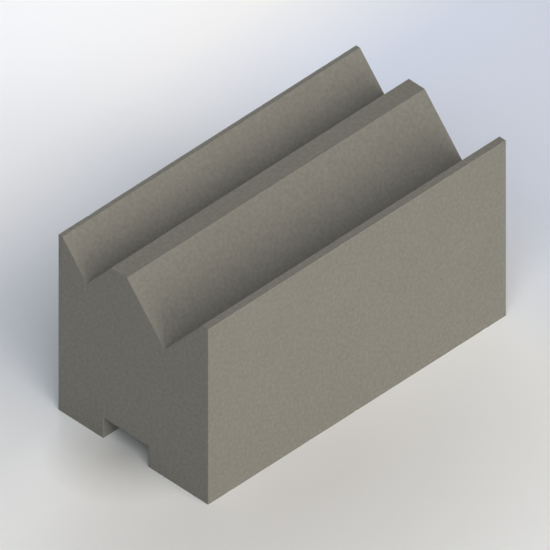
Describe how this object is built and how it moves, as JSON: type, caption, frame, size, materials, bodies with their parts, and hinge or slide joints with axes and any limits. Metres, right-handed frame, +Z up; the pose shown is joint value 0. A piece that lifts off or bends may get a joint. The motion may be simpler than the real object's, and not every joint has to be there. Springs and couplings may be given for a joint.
{
  "type": "concrete barrier block",
  "caption": "Heavy precast reinforced-concrete block with two lengthwise V-grooves in its top and a rectangular channel along its underside.",
  "frame": {"origin": "middle of the underside, on the surface that the block stands on", "axes": "+X along the block and its grooves, +Y across it towards the small groove, +Z up"},
  "size_m": [1.51, 0.76, 0.815],
  "materials": {
    "concrete": "as-cast fine concrete, matte, warm grey, faint mottling",
    "reinforcing_steel": "hot-rolled bar with dark mill scale and a bloom of rust",
    "tie_wire": "black annealed wire",
    "spacer_plastic": "moulded grey plastic"
  },
  "bodies": {
    "root": {"base_link_1": "reinforcing_steel", "base_link_2": "reinforcing_steel", "base_link_3": "reinforcing_steel", "base_link_4": "reinforcing_steel", "base_link_5": "reinforcing_steel", "base_link_6": "reinforcing_steel", "base_link_7": "reinforcing_steel", "channel_corner_bar_large_side": "reinforcing_steel", "channel_corner_bar_small_side": "reinforcing_steel", "channel_roof_bar": "reinforcing_steel", "concrete_block": "concrete", "cross_tie_1": "reinforcing_steel", "cross_tie_2": "reinforcing_steel", "cross_tie_3": "reinforcing_steel", "cross_tie_4": "reinforcing_steel", "cross_tie_5": "reinforcing_steel", "cross_tie_6": "reinforcing_steel", "crown_link_1": "reinforcing_steel", "crown_link_2": "reinforcing_steel", "crown_link_3": "reinforcing_steel", "crown_link_4": "reinforcing_steel", "crown_link_5": "reinforcing_steel", "crown_link_6": "reinforcing_steel", "crown_link_7": "reinforcing_steel", "large_foot_inner_bar": "reinforcing_steel", "large_foot_outer_bar": "reinforcing_steel", "large_groove_bar": "reinforcing_steel", "large_groove_spacers": "spacer_plastic", "large_rim_bar": "reinforcing_steel", "large_side_bar_1": "reinforcing_steel", "large_side_bar_2": "reinforcing_steel", "large_side_bar_3": "reinforcing_steel", "large_side_bar_4": "reinforcing_steel", "left_end_hairpin_lower": "reinforcing_steel", "left_end_hairpin_upper": "reinforcing_steel", "ridge_bar_large_side": "reinforcing_steel", "ridge_bar_small_side": "reinforcing_steel", "right_end_hairpin_lower": "reinforcing_steel", "right_end_hairpin_upper": "reinforcing_steel", "side_spacers_lower": "spacer_plastic", "side_spacers_upper": "spacer_plastic", "small_foot_inner_bar": "reinforcing_steel", "small_foot_outer_bar": "reinforcing_steel", "small_groove_bar": "reinforcing_steel", "small_groove_spacers": "spacer_plastic", "small_rim_bar": "reinforcing_steel", "small_side_bar_1": "reinforcing_steel", "small_side_bar_2": "reinforcing_steel", "small_side_bar_3": "reinforcing_steel", "small_side_bar_4": "reinforcing_steel", "tie_wires_1": "tie_wire", "tie_wires_2": "tie_wire", "tie_wires_3": "tie_wire", "tie_wires_4": "tie_wire", "tie_wires_5": "tie_wire", "tie_wires_6": "tie_wire", "tie_wires_7": "tie_wire"}
  },
  "joints": []
}
